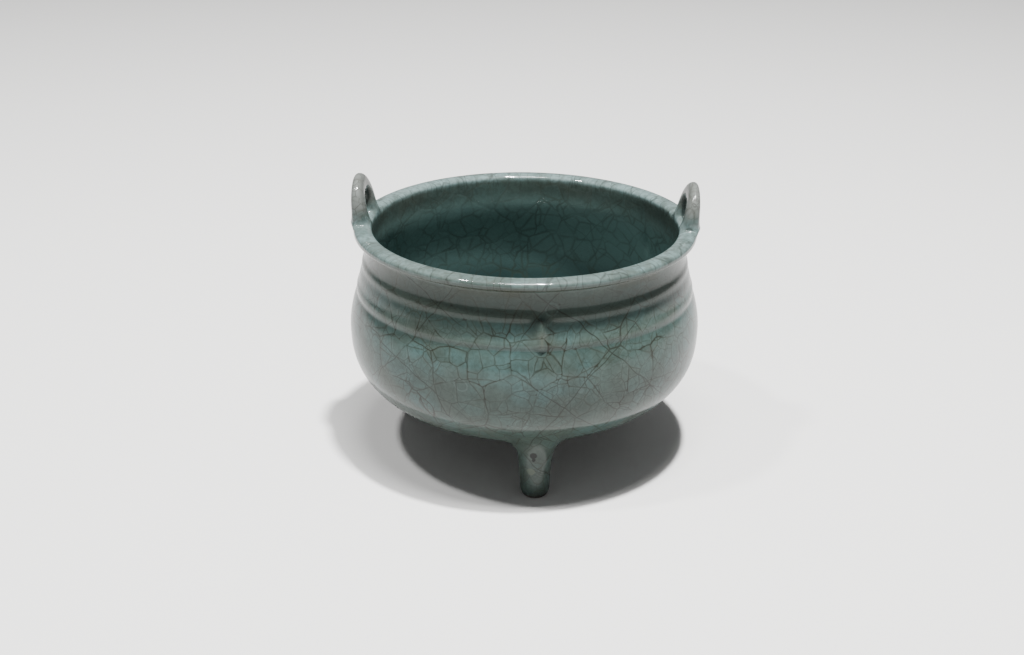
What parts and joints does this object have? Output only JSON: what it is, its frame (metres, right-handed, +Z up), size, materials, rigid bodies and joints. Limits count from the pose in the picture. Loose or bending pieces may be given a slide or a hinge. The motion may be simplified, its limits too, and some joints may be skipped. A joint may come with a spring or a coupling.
{
  "type": "tripod censer",
  "caption": "Squat round glazed incense bowl on stubby feet, with an everted lip, string lines and ribs on the shoulder, and upright loop handles standing on the lip.",
  "frame": {"origin": "on the bowl's axis, at the level of the feet's soles, where the censer stands", "axes": "+Z up along the bowl's axis, -Y towards the front, where one foot and its rib are a few degrees to the right of the middle, +X to the right, through one of the handles"},
  "size_m": [0.1532, 0.1532, 0.1213],
  "materials": {
    "celadon_glaze": "thick glossy grey-green celadon glaze with a brown-stained crackle, thin and brownish under the lip and on the handles, bare dark clay on the soles of the feet"
  },
  "bodies": {
    "root": {"censer": "celadon_glaze"}
  },
  "joints": []
}
